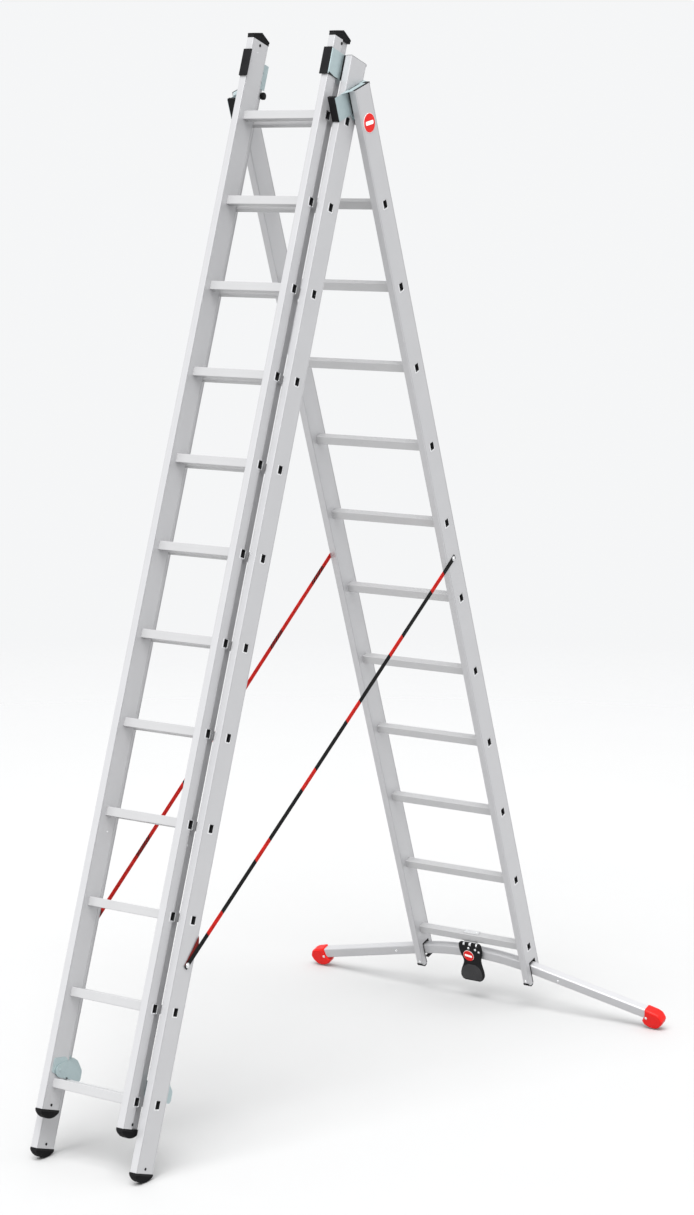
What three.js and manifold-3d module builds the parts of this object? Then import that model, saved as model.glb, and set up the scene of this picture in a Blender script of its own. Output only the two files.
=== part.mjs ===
// Three-section combination ladder, standing as an A-frame with its levelling bar on the floor.
// Millimetres, +Z up, +X to one side of the rungs, +Y from the front leg to the rear leg.
// The origin is on the floor, at the centre of the ladder's footprint.
//
// Every section is drawn in a frame of its own: x across the rungs, y through the depth of the
// rails towards the rear, z up along the rails, with zero at the middle of the lowest rung.
// The middle section is the front leg, the top section slides on it, and the rear section
// hangs from it on two hinge studs.

import * as THREE from 'three';
import { mergeVertices } from 'three/addons/utils/BufferGeometryUtils.js';
import Module from 'manifold-3d';

const wasm = await Module();
wasm.setup();

// ---------- driving dimensions ----------

const RUNG_COUNT = 12;
const RUNG_PITCH = 280;
const TOP_WIDTH = 340;
const MIDDLE_WIDTH = 412;
const REAR_WIDTH = 480;
const FRONT_LEAN = THREE.MathUtils.degToRad(18.89);
const REAR_LEAN = THREE.MathUtils.degToRad(19.38);

const RAIL_DEPTH = 84;
const RAIL_THICK = 24;
const WALL = 1.5;
const EDGE_CHAMFER = 2;
const NEST_OFFSET = 57.5; // how far one section lies in front of the next when they are nested
const GAP = 0.3; // between pieces that touch

const RUNG_SIZE = 28;
const LIP_SIZE = 32;
const LIP_THICK = 0.8;

// ends of the rails, measured from the lowest and the highest rung
const TOP_SECTION_ENDS = { below: 82, above: 247 };
const MIDDLE_SECTION_ENDS = { below: 205.5, above: 201 };
const REAR_SECTION_ENDS = { below: 146, above: 106 };

const FOOT = { height: 28, overhang: 1, radius: 60 };
const CAP = { front: 14, peak: 29, peakAt: -3, rear: 13, overhang: 1 };

// hinge studs: heights above the highest rung, and the distance to each section's middle plane
const STUD = { middleUp: 25, rearUp: 18, offset: NEST_OFFSET / 2, radius: 6, clearance: 0.4 };

const SHEET = 2;
const PAD = 5;
const MIDDLE_GUIDE = { low: 122, high: 204, leg: 50 };
const REAR_GUIDE = { low: 30, high: 106.3, padHigh: 110, padDeep: 12, leg: 44 };

// the hooks, each drawn round its pivot
const HOOK = {
  thick: 5, pivotDepth: 2, pivotUp: 40, pivotHole: 5, heel: 22, noseDepth: 98, noseLow: -2, shoulder: 72,
};
const HOOK_MOUNT = 2.6; // room for the mounting plate between the rail and the hook
const NEST_RISE = STUD.middleUp - STUD.rearUp; // the rear rungs sit this much higher when folded

// levelling bar, in the rear section's frame
const BAR = {
  height: 38, front: -14.5, back: 17.5, crown: -47, arcRadius: 1100, arcHalf: 250, end: 690,
  wall: 1.8, drain: 8, drainAt: 420,
};
const BAR_SLOT = { front: -16.5, back: 19.5, top: -62, rearStrip: -112 };
const BOOT = { depth: 20, inner: 680, outer: 754, topRise: 3 };

// rows of the pedal, from its tread up to its head
const PEDAL = [
  { up: -159, half: 36, front: -50, back: -41 },
  { up: -151, half: 45, front: -49, back: -37 },
  { up: -135, half: 49, front: -45, back: -31 },
  { up: -112, half: 42, front: -39, back: -24 },
  { up: -95, half: 37, front: -34, back: -18 },
  { up: -80, half: 39, front: -32, back: -17 },
  { up: -50, half: 47, front: -31, back: -17 },
  { up: -22, half: 47, front: -29, back: -17 },
  { up: -16, half: 40, front: -26, back: -17 },
];

// each strap runs from a height on the middle section to a height on the rear section
const STRAP = { width: 20, thick: 2, onMiddle: 1.5 * RUNG_PITCH + 9, onRear: 5.5 * RUNG_PITCH, clear: 1.3 };

// ---------- materials ----------

function finish(color, roughness, metalness) {
  return new THREE.MeshStandardMaterial({ color, roughness, metalness });
}

const aluminium = finish(0xc9cbce, 0.4, 0.9);
const zinc = finish(0xb4bfc1, 0.45, 0.85);
const blackPlastic = finish(0x1b1b1c, 0.6, 0);
const webbing = finish(0x2a1414, 0.85, 0);

// ---------- solids ----------

// A closed geometry as a solid that can be joined and cut.
function solidOf(geometry) {
  geometry.deleteAttribute('normal');
  geometry.deleteAttribute('uv');
  const merged = mergeVertices(geometry, 1e-4);
  return new wasm.Manifold(new wasm.Mesh({
    numProp: 3,
    vertProperties: new Float32Array(merged.getAttribute('position').array),
    triVerts: new Uint32Array(merged.getIndex().array),
  }));
}

function geometryOf(solid) {
  const mesh = solid.getMesh();
  const geometry = new THREE.BufferGeometry();
  geometry.setAttribute('position', new THREE.BufferAttribute(new Float32Array(mesh.vertProperties), 3));
  geometry.setIndex(new THREE.BufferAttribute(new Uint32Array(mesh.triVerts), 1));
  geometry.computeVertexNormals();
  return geometry;
}

const outlineOf = (points) => new THREE.Shape(points.map(([u, v]) => new THREE.Vector2(u, v)));

// Extrudes an outline and turns it, so that its first axis lies on u, its second on v and its run on w.
function extruded(points, from, to, u, v, w) {
  const geometry = new THREE.ExtrudeGeometry(outlineOf(points), { depth: to - from, bevelEnabled: false });
  geometry.translate(0, 0, from);
  geometry.applyMatrix4(new THREE.Matrix4().makeBasis(u, v, w));
  return solidOf(geometry);
}

const X = new THREE.Vector3(1, 0, 0);
const Y = new THREE.Vector3(0, 1, 0);
const Z = new THREE.Vector3(0, 0, 1);
const FORWARD = new THREE.Vector3(0, -1, 0);

// Outline in x and y, run along the rails.
function alongRail(points, from, to) {
  return extruded(points, from, to, X, Y, Z);
}

// Outline in y and z, run across the rungs between two values of x given in either order.
function acrossWidth(points, x0, x1) {
  return extruded(points, Math.min(x0, x1), Math.max(x0, x1), Y, Z, X);
}

// Outline in x and z, run through the depth of the rails.
function throughDepth(points, front, back) {
  return extruded(points, -back, -front, X, Z, FORWARD);
}

function block(x, y, z) {
  const corners = [[x[0], y[0]], [x[1], y[0]], [x[1], y[1]], [x[0], y[1]]];
  return alongRail(corners, z[0], z[1]);
}

// A rectangle with its corners cut off.
function chamfered(x0, x1, y0, y1, cut) {
  return [
    [x0 + cut, y0], [x1 - cut, y0], [x1, y0 + cut], [x1, y1 - cut],
    [x1 - cut, y1], [x0 + cut, y1], [x0, y1 - cut], [x0, y0 + cut],
  ];
}

// The same outline for the left side, -1, or the right side, 1.
function mirrored(points, side) {
  return points.map(([x, y]) => [side * x, y]);
}

// Points on a circle, from one angle to another in degrees.
function arcPoints(cx, cy, radius, from, to, steps) {
  return Array.from({ length: steps + 1 }, (_, i) => {
    const angle = THREE.MathUtils.degToRad(from + (to - from) * i / steps);
    return [cx + radius * Math.cos(angle), cy + radius * Math.sin(angle)];
  });
}

// A closed skin over rings of points, which run the same way round and rise.
function loft(rings) {
  const count = rings[0].length;
  const index = [];
  for (let r = 0; r + 1 < rings.length; r++) {
    for (let i = 0; i < count; i++) {
      const [a, b] = [r * count + i, r * count + (i + 1) % count];
      index.push(a, b, b + count, a, b + count, a + count);
    }
  }
  const last = (rings.length - 1) * count;
  for (let i = 1; i + 1 < count; i++) {
    index.push(0, i + 1, i);
    index.push(last, last + i, last + i + 1);
  }
  const geometry = new THREE.BufferGeometry();
  geometry.setAttribute('position', new THREE.BufferAttribute(new Float32Array(rings.flat(2)), 3));
  geometry.setIndex(index);
  return solidOf(geometry);
}

// ---------- the scene graph ----------

const ladder = new THREE.Group();
const HIGHEST_RUNG = (RUNG_COUNT - 1) * RUNG_PITCH;

// The front foot stands on its rounded sole, which fixes the height of the middle section.
const soleCentre = -(MIDDLE_SECTION_ENDS.below + FOOT.height - FOOT.radius);
const middle = new THREE.Group();
middle.position.z = FOOT.radius - soleCentre * Math.cos(FRONT_LEAN);
middle.rotation.x = -FRONT_LEAN;

const top = new THREE.Group();
top.position.y = -NEST_OFFSET;
middle.add(top);

// The rear section hangs from the studs, which lie half way between the two sections' planes.
middle.updateMatrixWorld();
const stud = middle.localToWorld(new THREE.Vector3(0, STUD.offset, HIGHEST_RUNG + STUD.middleUp));
const rear = new THREE.Group();
rear.rotation.x = REAR_LEAN;
const studInRear = new THREE.Vector3(0, -STUD.offset, HIGHEST_RUNG + STUD.rearUp);
rear.position.copy(stud).sub(studInRear.applyEuler(rear.rotation));
ladder.add(middle, rear);

function place(group, name, solid, material) {
  const mesh = new THREE.Mesh(geometryOf(solid), material);
  mesh.name = name;
  group.add(mesh);
}

const SIDES = [['left', -1], ['right', 1]];

// ---------- rails and rungs ----------

// A hollow rail, open at both ends. side is -1 or 1.
function rail(side, width, ends) {
  const outer = side * width / 2;
  const inner = side * (width / 2 - RAIL_THICK);
  const [x0, x1] = [Math.min(inner, outer), Math.max(inner, outer)];
  const half = RAIL_DEPTH / 2;
  const low = -ends.below;
  const high = HIGHEST_RUNG + ends.above;
  const skin = alongRail(chamfered(x0, x1, -half, half, EDGE_CHAMFER), low, high);
  const bore = block([x0 + WALL, x1 - WALL], [-half + WALL, half - WALL], [low - 1, high + 1]);
  let solid = skin.subtract(bore);
  const hole = RUNG_SIZE / 2 + GAP;
  for (let i = 0; i < RUNG_COUNT; i++) {
    const level = i * RUNG_PITCH;
    solid = solid.subtract(block([x0 - 1, x1 + 1], [-hole, hole], [level - hole, level + hole]));
  }
  return solid;
}

// A square tube that runs through both rails, flared into a lip outside each.
function rung(width) {
  const tip = width / 2 + GAP + LIP_THICK;
  const square = (size) => {
    const half = size / 2;
    return [[-half, -half], [half, -half], [half, half], [-half, half]];
  };
  let solid = acrossWidth(square(RUNG_SIZE), -tip, tip);
  for (const [, side] of SIDES) {
    solid = solid.add(acrossWidth(square(LIP_SIZE), side * (width / 2 + GAP), side * tip));
  }
  return solid.subtract(acrossWidth(square(RUNG_SIZE - 2 * WALL), -tip - 1, tip + 1));
}

function addRungs(group, width, label) {
  const shared = geometryOf(rung(width));
  for (let i = 0; i < RUNG_COUNT; i++) {
    const mesh = new THREE.Mesh(shared, aluminium);
    mesh.name = `${label}_rung_${String(i + 1).padStart(2, '0')}`;
    mesh.position.z = i * RUNG_PITCH;
    group.add(mesh);
  }
}

// ---------- plastic feet and caps ----------

// A foot with a round sole, under the end of a rail.
function foot(side, width, ends) {
  const x0 = width / 2 - RAIL_THICK - FOOT.overhang;
  const x1 = width / 2 + FOOT.overhang / 2;
  const half = RAIL_DEPTH / 2 + FOOT.overhang;
  const centre = -ends.below - FOOT.height + FOOT.radius;
  const reach = THREE.MathUtils.radToDeg(Math.asin(half / FOOT.radius));
  const outline = [
    ...arcPoints(0, centre, FOOT.radius, -90 - reach, -90 + reach, 12),
    [half, -ends.below - GAP], [-half, -ends.below - GAP],
  ];
  return acrossWidth(outline, side * x0, side * x1);
}

// A roof-shaped end cap on the top section, level in front when the ladder leans.
function endCap(side) {
  const x0 = TOP_WIDTH / 2 - RAIL_THICK - CAP.overhang;
  const x1 = TOP_WIDTH / 2 + CAP.overhang;
  const half = RAIL_DEPTH / 2 + CAP.overhang;
  const base = HIGHEST_RUNG + TOP_SECTION_ENDS.above + GAP;
  const outline = [
    [-half, base], [half, base], [half, base + CAP.rear], [CAP.peakAt + 3, base + CAP.peak - 1],
    [CAP.peakAt, base + CAP.peak], [-half, base + CAP.front],
  ];
  return acrossWidth(outline, side * x0, side * x1);
}

// ---------- hooks ----------

// A plate that hooks over the next section's lowest rung, and swings up about its pivot to let go.
// It lies inside the rail; rise is how much higher the next section's rungs are.
function hook(side, width, rise) {
  const face = width / 2 - RAIL_THICK - HOOK_MOUNT;
  const mouthTop = RUNG_SIZE / 2 + 1 + rise;
  const mouthBack = NEST_OFFSET + RUNG_SIZE / 2 + 3.5;
  const nose = HOOK.noseLow + rise;
  const up = HOOK.pivotUp + rise;
  const outline = [
    ...arcPoints(HOOK.pivotDepth, up, HOOK.heel, 100, 270, 10),
    [40, mouthTop], [mouthBack, mouthTop], [mouthBack, nose],
    [HOOK.noseDepth - 6, nose], [HOOK.noseDepth, nose + 6],
    [HOOK.noseDepth, HOOK.shoulder - 37 + rise], [67, HOOK.shoulder - 7 + rise], [42, HOOK.shoulder + rise],
  ];
  const hole = arcPoints(HOOK.pivotDepth, up, HOOK.pivotHole, 0, 330, 11);
  const plate = acrossWidth(outline, side * face, side * (face - HOOK.thick));
  return plate.subtract(acrossWidth(hole, side * (face + 1), side * (face - HOOK.thick - 1)));
}

// ---------- guides ----------

// The middle section's guide: a pad in front of the sliding rail, a side plate beside it,
// and a leg on the inner face of its own rail.
function middleGuide(side) {
  const slidingRail = TOP_WIDTH / 2;
  const ownFace = MIDDLE_WIDTH / 2 - RAIL_THICK - GAP;
  const front = -NEST_OFFSET - RAIL_DEPTH / 2 - 1;
  const plate = slidingRail + 1.6;
  const padEdge = slidingRail - RAIL_THICK - 6;
  const half = RAIL_DEPTH / 2;
  const outline = [
    [plate + SHEET, front - PAD], [plate + SHEET, -half - 4], [ownFace, -half - 1.5],
    [ownFace, MIDDLE_GUIDE.leg], [ownFace - SHEET, MIDDLE_GUIDE.leg], [ownFace - SHEET, -half + 0.5],
    [plate, -half - 2], [plate, front], [padEdge, front], [padEdge, front - PAD],
  ];
  const [low, high] = [HIGHEST_RUNG + MIDDLE_GUIDE.low, HIGHEST_RUNG + MIDDLE_GUIDE.high];
  return alongRail(mirrored(outline, side), low, high);
}

// The rear section's guide: the same bent plate with a pad in front of the middle section's rail,
// a flange over the rail's top, and the hinge stud. The pad's lower end is cut to lie flat against
// the middle section's rail when the ladder stands open.
function rearGuide(side) {
  const held = MIDDLE_WIDTH / 2;
  const ownFace = REAR_WIDTH / 2 - RAIL_THICK - GAP;
  const half = RAIL_DEPTH / 2;
  const front = -NEST_OFFSET - half - 1;
  const padFront = front - REAR_GUIDE.padDeep;
  const plate = held + 1.4;
  const level = (up) => HIGHEST_RUNG + up;
  const { low, high, padHigh, leg } = REAR_GUIDE;
  const bent = [
    [plate + SHEET, padFront], [plate + SHEET, -half - 4], [ownFace, -half - 1.5], [ownFace, leg],
    [ownFace - SHEET, leg], [ownFace - SHEET, -half + 0.5], [plate, -half - 2], [plate, padFront],
  ];
  const solids = [alongRail(mirrored(bent, side), level(low), level(high))];
  const addAcross = (points, x0, x1) => solids.push(acrossWidth(points, side * x0, side * x1));

  // pad, with the plane of the open middle rail as its lower rear face
  const spread = FRONT_LEAN + REAR_LEAN;
  const clear = STUD.offset + half + 1;
  const rise = (low - STUD.rearUp) * Math.sin(spread);
  const flat = -STUD.offset + (rise - clear) / Math.cos(spread);
  const knee = STUD.rearUp + clear * Math.tan(spread / 2);
  const pad = [
    [padFront, level(padHigh)], [padFront, level(low)], [flat, level(low)],
    [front, level(knee)], [front, level(padHigh)],
  ];
  addAcross(pad, held - RAIL_THICK - 1, plate + 0.2);

  // ear and stud
  const studUp = level(STUD.rearUp);
  const ear = [
    [-half + 2, level(low + 2)], [-half - 8, level(low + 2)],
    [-STUD.offset - 11, studUp - 6], [-STUD.offset - 5, studUp - 11],
    [-STUD.offset + 5, studUp - 11], [-STUD.offset + 11, studUp - 4],
    [-STUD.offset + 11, level(low + 2)],
  ];
  addAcross(ear, plate, plate + SHEET);
  addAcross(arcPoints(-STUD.offset, studUp, STUD.radius, 0, 337.5, 15), held - 18, plate + 1);

  // flange over the top of the rail
  const flange = [
    [plate, -half - 33], [plate + SHEET, -half - 33], [REAR_WIDTH / 2 - 8, -half - 2],
    [REAR_WIDTH / 2 - 8, half + 2], [plate + SHEET, half + 18], [plate, half + 18],
  ];
  solids.push(alongRail(mirrored(flange, side), level(high), level(high) + SHEET));
  return solids.reduce((whole, piece) => whole.add(piece));
}

// ---------- levelling bar ----------

const SLOPE = BAR.arcHalf / BAR.arcRadius;
const slopeLength = Math.hypot(1, SLOPE);

// The bar's upper edge: an arc in the middle and straight ends that droop. inset moves it inwards.
function barEdge(x, inset) {
  const reach = Math.min(Math.abs(x), BAR.arcHalf);
  const fall = reach ** 2 / (2 * BAR.arcRadius) + (Math.abs(x) - reach) * SLOPE;
  return BAR.crown - fall - inset;
}

function barOutline(end, inset) {
  const steps = 16;
  const xs = Array.from({ length: steps + 1 }, (_, i) => -BAR.arcHalf + 2 * BAR.arcHalf * i / steps);
  const tilt = SLOPE / slopeLength;
  // the ends are cut square to the bar
  const lowerEnd = end - tilt * BAR.height;
  const upperEdge = [-end, ...xs, end].map((x) => [x, barEdge(x, inset)]);
  const lowerEdge = [-lowerEnd, ...xs, lowerEnd].map((x) => [x, barEdge(x, BAR.height - inset)]);
  return [...upperEdge, ...lowerEdge.reverse()];
}

// The rounded boot on each end of the bar; its front lower edge stands on the floor.
function boot(side) {
  const ground = -(rear.position.z - BOOT.depth * Math.sin(REAR_LEAN)) / Math.cos(REAR_LEAN);
  const topInner = barEdge(BOOT.inner + 10, -BOOT.topRise);
  const outline = [
    [BOOT.inner + 10, topInner], [BOOT.inner + 50, barEdge(BOOT.inner + 50, -BOOT.topRise)],
    [BOOT.outer - 9, topInner - 20], [BOOT.outer, topInner - 42], [BOOT.outer - 8, topInner - 60],
    [BOOT.outer - 24, ground + 3], [BOOT.outer - 40, ground], [BOOT.inner + 16, ground + 2.5],
    [BOOT.inner - 2, ground + 12], [BOOT.inner - 9, ground + 26], [BOOT.inner + 4, topInner - 30],
  ];
  return throughDepth(mirrored(outline, side), -BOOT.depth, BOOT.depth);
}

function levellingBar() {
  let solid = throughDepth(barOutline(BAR.end, 0), BAR.front, BAR.back);
  for (const [, side] of SIDES) {
    solid = solid.add(boot(side));
  }
  const hollow = barOutline(BAR.end - 6, BAR.wall);
  solid = solid.subtract(throughDepth(hollow, BAR.front + BAR.wall, BAR.back - BAR.wall));
  for (const [, side] of SIDES) {
    const x = side * BAR.drainAt;
    const low = barEdge(x, BAR.height);
    const half = BAR.drain / 2;
    solid = solid.subtract(block([x - half, x + half], [-half, half], [low - 5, low + 8]));
  }
  return solid;
}

// ---------- pedal ----------

// A plate beside the bar that widens into a sloping tread, to press the bar's lock with a foot.
function pedal() {
  return loft(PEDAL.map(({ up, half, front, back }) => {
    return chamfered(-half, half, front, back, 3).map(([x, y]) => [x, y, up]);
  }));
}

// ---------- straps ----------

// A flat strap outside the rails, from the middle section to the rear section.
function strap(side) {
  const low = middle.localToWorld(new THREE.Vector3(0, 0, STRAP.onMiddle));
  rear.updateMatrixWorld();
  const high = rear.localToWorld(new THREE.Vector3(0, 0, STRAP.onRear));
  low.x = side * (MIDDLE_WIDTH / 2 + STRAP.clear);
  high.x = side * (REAR_WIDTH / 2 + STRAP.clear);
  const run = high.clone().sub(low);
  const along = run.clone().normalize();
  const outward = new THREE.Vector3(side, 0, 0).addScaledVector(along, -side * along.x).normalize();
  const across = new THREE.Vector3().crossVectors(outward, along).normalize();
  const half = STRAP.width / 2;
  const section = [[0, -half], [STRAP.thick, -half], [STRAP.thick, half], [0, half]];
  const geometry = new THREE.ExtrudeGeometry(outlineOf(section), {
    depth: run.length() + STRAP.width, bevelEnabled: false,
  });
  geometry.translate(0, 0, -half);
  const basis = new THREE.Matrix4().makeBasis(outward, across.clone().negate(), along);
  geometry.applyMatrix4(basis.setPosition(low));
  return solidOf(geometry);
}

// ---------- assembly ----------

addRungs(top, TOP_WIDTH, 'top');
addRungs(middle, MIDDLE_WIDTH, 'middle');
addRungs(rear, REAR_WIDTH, 'rear');

const half = RAIL_DEPTH / 2;
for (const [name, side] of SIDES) {
  place(top, `top_rail_${name}`, rail(side, TOP_WIDTH, TOP_SECTION_ENDS), aluminium);
  place(top, `top_end_cap_${name}`, endCap(side), blackPlastic);
  place(top, `top_foot_${name}`, foot(side, TOP_WIDTH, TOP_SECTION_ENDS), blackPlastic);
  place(top, `top_hook_${name}`, hook(side, TOP_WIDTH, 0), zinc);

  // a hole in the outer wall takes the hinge stud
  const studUp = HIGHEST_RUNG + STUD.middleUp;
  const studHole = arcPoints(STUD.offset, studUp, STUD.radius + STUD.clearance, 0, 337.5, 15);
  const outerFace = MIDDLE_WIDTH / 2;
  const bore = acrossWidth(studHole, side * (outerFace - 4), side * (outerFace + 1));
  const middleRail = rail(side, MIDDLE_WIDTH, MIDDLE_SECTION_ENDS).subtract(bore);
  place(middle, `middle_rail_${name}`, middleRail, aluminium);
  place(middle, `middle_foot_${name}`, foot(side, MIDDLE_WIDTH, MIDDLE_SECTION_ENDS), blackPlastic);
  place(middle, `middle_guide_${name}`, middleGuide(side), zinc);
  place(middle, `middle_hook_${name}`, hook(side, MIDDLE_WIDTH, NEST_RISE), zinc);

  // the lower end is slotted for the levelling bar, and its rear strip is shorter than its front
  const slotWidth = [side > 0 ? 200 : -250, side > 0 ? 250 : -200];
  const slot = block(slotWidth, [BAR_SLOT.front, BAR_SLOT.back], [-200, BAR_SLOT.top]);
  const shortened = block(slotWidth, [BAR_SLOT.back - 1, half + 1], [-200, BAR_SLOT.rearStrip]);
  const rearRail = rail(side, REAR_WIDTH, REAR_SECTION_ENDS).subtract(slot).subtract(shortened);
  place(rear, `rear_rail_${name}`, rearRail, aluminium);
  place(rear, `rear_guide_${name}`, rearGuide(side), zinc);
}
place(rear, 'levelling_bar', levellingBar(), aluminium);
place(rear, 'foot_pedal', pedal(), blackPlastic);
for (const [name, side] of SIDES) {
  place(ladder, `spread_strap_${name}`, strap(side), webbing);
}

// The origin goes to the floor, under the middle of the whole ladder.
const box = new THREE.Box3().setFromObject(ladder, true);
const centre = box.getCenter(new THREE.Vector3());
ladder.position.set(-centre.x, -centre.y, -box.min.z);

export default ladder;
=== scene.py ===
import math

import bmesh
import bpy
from mathutils import Matrix, Vector


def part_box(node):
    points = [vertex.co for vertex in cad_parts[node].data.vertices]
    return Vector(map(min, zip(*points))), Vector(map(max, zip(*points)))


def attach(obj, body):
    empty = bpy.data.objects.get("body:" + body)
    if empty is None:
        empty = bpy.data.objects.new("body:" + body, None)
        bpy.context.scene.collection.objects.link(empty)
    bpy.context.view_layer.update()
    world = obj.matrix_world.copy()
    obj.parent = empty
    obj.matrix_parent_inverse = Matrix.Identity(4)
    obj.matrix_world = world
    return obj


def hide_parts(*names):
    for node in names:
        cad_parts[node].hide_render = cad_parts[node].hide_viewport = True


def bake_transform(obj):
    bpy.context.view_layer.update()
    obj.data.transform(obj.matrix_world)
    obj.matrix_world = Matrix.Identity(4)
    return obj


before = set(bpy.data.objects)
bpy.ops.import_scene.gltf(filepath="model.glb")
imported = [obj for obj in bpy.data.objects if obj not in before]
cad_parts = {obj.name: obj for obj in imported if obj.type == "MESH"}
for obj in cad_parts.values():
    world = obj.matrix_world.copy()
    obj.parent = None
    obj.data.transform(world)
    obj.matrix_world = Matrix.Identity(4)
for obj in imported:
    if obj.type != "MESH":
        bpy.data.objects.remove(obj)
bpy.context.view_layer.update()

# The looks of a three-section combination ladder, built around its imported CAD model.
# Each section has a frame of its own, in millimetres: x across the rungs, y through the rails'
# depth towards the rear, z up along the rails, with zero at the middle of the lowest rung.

MM = 0.001
X = Vector((1, 0, 0))
SIDES = (("left", -1), ("right", 1))
RUNGS = [f"{i:02d}" for i in range(1, 13)]


# ---------- frames and sizes, read from the CAD model ----------

def centre(node):
    low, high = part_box(node)
    return (low + high) / 2


def section_matrix(label):
    """From the section's own millimetres to the row frame."""
    first = centre(f"{label}_rung_01")
    along = (centre(f"{label}_rung_12") - first).normalized()
    turn = Matrix((X, along.cross(X), along)).transposed().to_4x4()
    return Matrix.Translation(first) @ turn @ Matrix.Scale(MM, 4)


SECTION = {label: section_matrix(label) for label in ("top", "middle", "rear")}
# how far the top section lies in front of the middle one
NEST = round(-(SECTION["middle"].inverted() @ centre("top_rung_01")).y, 2)


def local_box(node, label):
    """A CAD node's lowest and highest corners in a section's frame."""
    inverse = SECTION[label].inverted()
    points = [inverse @ v.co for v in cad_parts[node].data.vertices]
    low = Vector([min(p[i] for p in points) for i in range(3)])
    high = Vector([max(p[i] for p in points) for i in range(3)])
    return low, high


TOP_RUNG = (centre("top_rung_12") - centre("top_rung_01")).length / MM
PITCH = TOP_RUNG / 11
RAIL = {label: local_box(f"{label}_rail_right", label) for label in SECTION}
THICK = RAIL["top"][1].x - RAIL["top"][0].x
HALF = RAIL["top"][1].y
RUNG = 14
BORE = (9.5, 12.6)  # half the bore's depth and height
HEAD = {  # heights at the head of the ladder, along the rails
    "guide": TOP_RUNG + 30, "guide_top": TOP_RUNG + 106.3, "stud": TOP_RUNG + 18, "knob": TOP_RUNG + 104,
}
GUIDE_SHEET = 2.0  # the thickness of the guides' bent plates
STUD = 5.9  # the hinge stud's radius
RECESS = {"front": 2.5, "depth": 9}  # the step along the rear of the top section's outer faces


def span(side, a, b):
    """Two distances from the middle of the ladder, on one side of it, in rising order."""
    return sorted((side * a, side * b))


def outwards(side):
    return "x" if side > 0 else "-x"


def inwards(side):
    return "-x" if side > 0 else "x"


# ---------- outlines ----------

def fillet(points, radius, steps=4):
    """Rounds the corners of a closed outline. radius is one number, or one for each corner."""
    rounded = []
    count = len(points)
    radii = radius if hasattr(radius, "__len__") else [radius] * count
    for i, corner in enumerate(points):
        here = Vector(corner)
        back = Vector(points[i - 1]) - here
        on = Vector(points[(i + 1) % count]) - here
        angle = back.angle(on)
        if radii[i] <= 0 or angle > math.radians(178):
            rounded.append(tuple(here))
            continue
        reach = min(radii[i] / math.tan(angle / 2), 0.48 * back.length, 0.48 * on.length)
        start, end = here + back.normalized() * reach, here + on.normalized() * reach
        middle = here + (back.normalized() + on.normalized()).normalized() * (
            reach / math.cos(angle / 2))
        r = reach * math.tan(angle / 2)
        a, b = start - middle, end - middle
        turn = a.angle_signed(b)
        for k in range(steps + 1):
            c, s = math.cos(-turn * k / steps), math.sin(-turn * k / steps)
            spoke = Vector((a.x * c - a.y * s, a.x * s + a.y * c)).normalized() * r
            rounded.append(tuple(middle + spoke))
    return rounded


def rectangle(u0, u1, v0, v1):
    return [(u0, v0), (u1, v0), (u1, v1), (u0, v1)]


def circle(u, v, radius, steps=24):
    turn = 2 * math.pi / steps
    return [(u + radius * math.cos(i * turn), v + radius * math.sin(i * turn)) for i in range(steps)]


def strip(path, thick, bend=3.0):
    """The outline of a sheet of metal that follows a path, with rounded bends."""
    soft = [path[0]]
    for before, corner, after in zip(path, path[1:], path[2:]):
        three = [before, corner, after]
        soft += fillet(three, [0, bend, 0], 4)[1:-1]
    soft.append(path[-1])
    points = [Vector(p) for p in soft]
    left, right = [], []
    for i, point in enumerate(points):
        run = (points[min(i + 1, len(points) - 1)] - points[max(i - 1, 0)]).normalized()
        side = Vector((-run.y, run.x)) * (thick / 2)
        left.append(tuple(point + side))
        right.append(tuple(point - side))
    return left + right[::-1]


# ---------- solids ----------

PLANES = {
    "up": lambda u, v, w: (u, v, w),  # outline in x and y, run along the rails
    "across": lambda u, v, w: (w, u, v),  # outline in y and z, run across the rungs
    "back": lambda u, v, w: (u, w, v),  # outline in x and z, run through the depth
}


def prism(bm, outline, start, end, plane="up", hole=None, slot=0):
    """Adds an outline run from start to end, with a hole right through it if one is given."""
    place = PLANES[plane]
    rims = ([], [])
    for loop in [outline] if hole is None else [outline, hole]:
        rows = [[bm.verts.new(place(u, v, w)) for u, v in loop] for w in (start, end)]
        for i in range(len(loop)):
            j = (i + 1) % len(loop)
            face = bm.faces.new((rows[0][i], rows[0][j], rows[1][j], rows[1][i]))
            face.material_index = slot if loop is outline else slot + (hole is not None)
        for rim, row in zip(rims, rows):
            rim.append(row)
    for rim in rims:
        if hole is None:
            bm.faces.new(rim[0]).material_index = slot
        else:
            edges = [bm.edges.get((row[i - 1], row[i])) for row in rim for i in range(len(row))]
            made = bmesh.ops.triangle_fill(bm, edges=edges, use_beauty=True)
            for item in made["geom"]:
                if isinstance(item, bmesh.types.BMFace):
                    item.material_index = slot


def block(bm, x, y, z, slot=0):
    prism(bm, rectangle(*x, *y), *z, slot=slot)


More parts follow.
